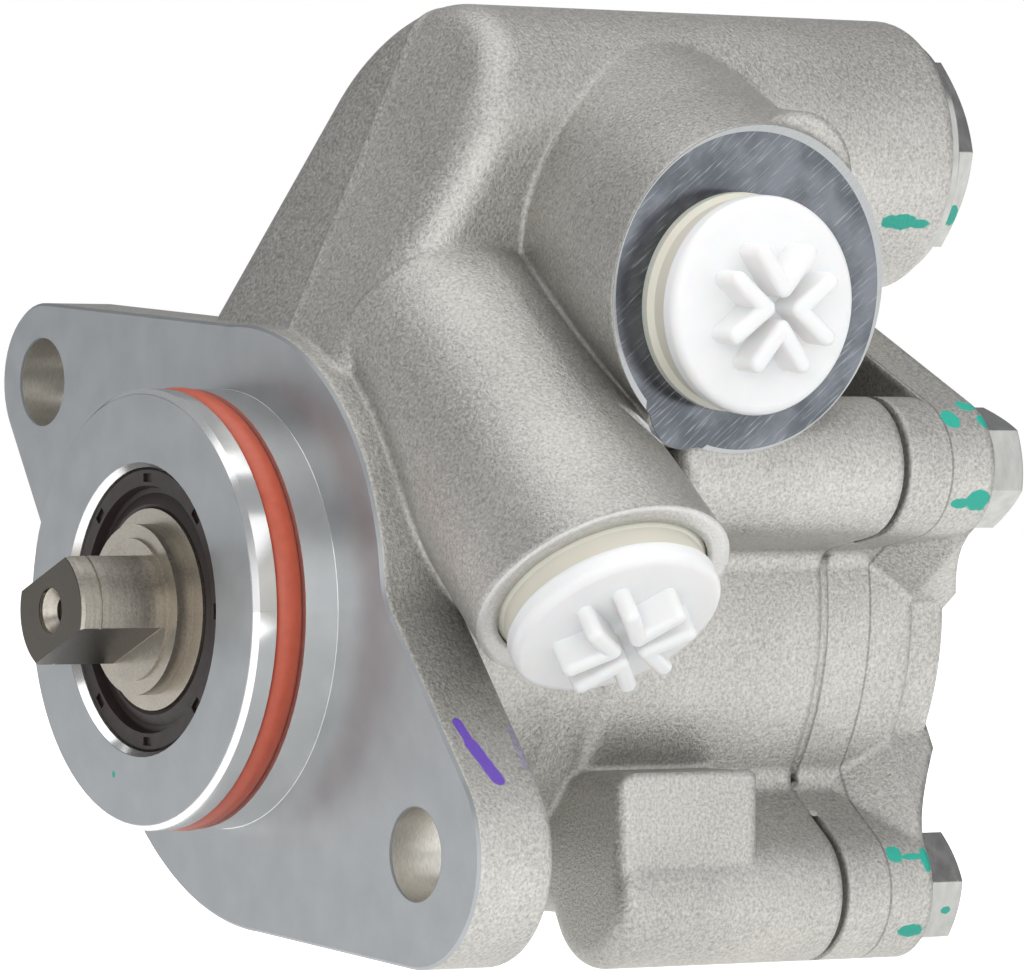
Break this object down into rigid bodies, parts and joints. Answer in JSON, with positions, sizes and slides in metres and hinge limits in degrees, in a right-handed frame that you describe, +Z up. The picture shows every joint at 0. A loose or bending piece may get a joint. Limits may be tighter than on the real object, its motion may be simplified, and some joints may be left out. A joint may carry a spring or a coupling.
{
  "type": "power steering pump",
  "caption": "Vane pump for hydraulic power steering: cast body with mounting flange and pilot, driven shaft, flow control valve and two capped ports.",
  "frame": {"origin": "on the drive shaft's axis, in the plane of the mounting flange's machined face", "axes": "+Y along the shaft from the driving end to the rear cover, +Z up with the valve housing on top, +X to the side of the suction port"},
  "size_m": [0.1424, 0.1381, 0.1361],
  "materials": {
    "cast_aluminium": "shot-blasted casting with machined faces",
    "bright_steel": "bright zinc-plated steel",
    "shaft_steel": "turned and ground steel, dull",
    "bearing_steel": "ground",
    "sintered_steel": "ground sintered steel",
    "spring_steel": "drawn wire and pressed strip",
    "bronze": "sintered bronze",
    "orange_rubber": "smooth moulded rubber",
    "brown_rubber": "moulded rubber over a steel case",
    "black_rubber": "smooth moulded rubber",
    "white_plastic": "smooth moulded polyethylene",
    "cage_plastic": "moulded polyamide"
  },
  "bodies": {
    "housing": {"pump_body": "cast_aluminium", "rear_cover": "cast_aluminium", "cover_bolts": "bright_steel", "pilot_ring": "orange_rubber", "shaft_seal": "brown_rubber", "seal_spring": "spring_steel", "bearing_outer": "bearing_steel", "bearing_circlip": "spring_steel", "front_plate": "sintered_steel", "rear_plate": "sintered_steel", "cam_ring": "sintered_steel", "locating_pins": "bearing_steel", "plate_seal": "black_rubber", "plate_spring": "spring_steel", "cover_seal": "black_rubber", "rear_bush": "bronze", "valve_plug": "bright_steel", "plug_seal": "black_rubber"},
    "shaft": {"drive_shaft": "shaft_steel", "bearing_inner": "bearing_steel", "rotor": "sintered_steel", "vanes": "bearing_steel", "rotor_clip": "spring_steel"},
    "ball_cage": {"bearing_cage": "cage_plastic", "bearing_balls": "bearing_steel"},
    "spool": {"valve_spool": "bearing_steel", "valve_spring": "spring_steel"},
    "suction_cap": {"suction_cap": "white_plastic"},
    "pressure_cap": {"pressure_cap": "white_plastic"}
  },
  "joints": [
    {"name": "shaft_spin", "type": "hinge", "parent": "housing", "child": "shaft", "pos_m": [0, 0, 0], "axis": [0, 1, 0], "continuous": true},
    {"name": "cage_spin", "type": "hinge", "parent": "housing", "child": "ball_cage", "pos_m": [0, 0, 0], "axis": [0, 1, 0], "continuous": true},
    {"name": "spool_slide", "type": "slide", "parent": "housing", "child": "spool", "axis": [0, -1, 0], "range_m": [0, 0.012], "stiffness_N_per_m": 3000, "springref_m": -0.006, "deforming": ["valve_spring"]},
    {"name": "suction_cap_pull", "type": "slide", "parent": "housing", "child": "suction_cap", "axis": [0.9945, 0, -0.1045], "range_m": [0, 0.03]},
    {"name": "pressure_cap_pull", "type": "slide", "parent": "housing", "child": "pressure_cap", "axis": [0.6157, 0, -0.788], "range_m": [0, 0.03]}
  ],
  "couplings": [
    {"joint": "cage_spin", "follows": "shaft_spin", "ratio": 0.3877}
  ]
}
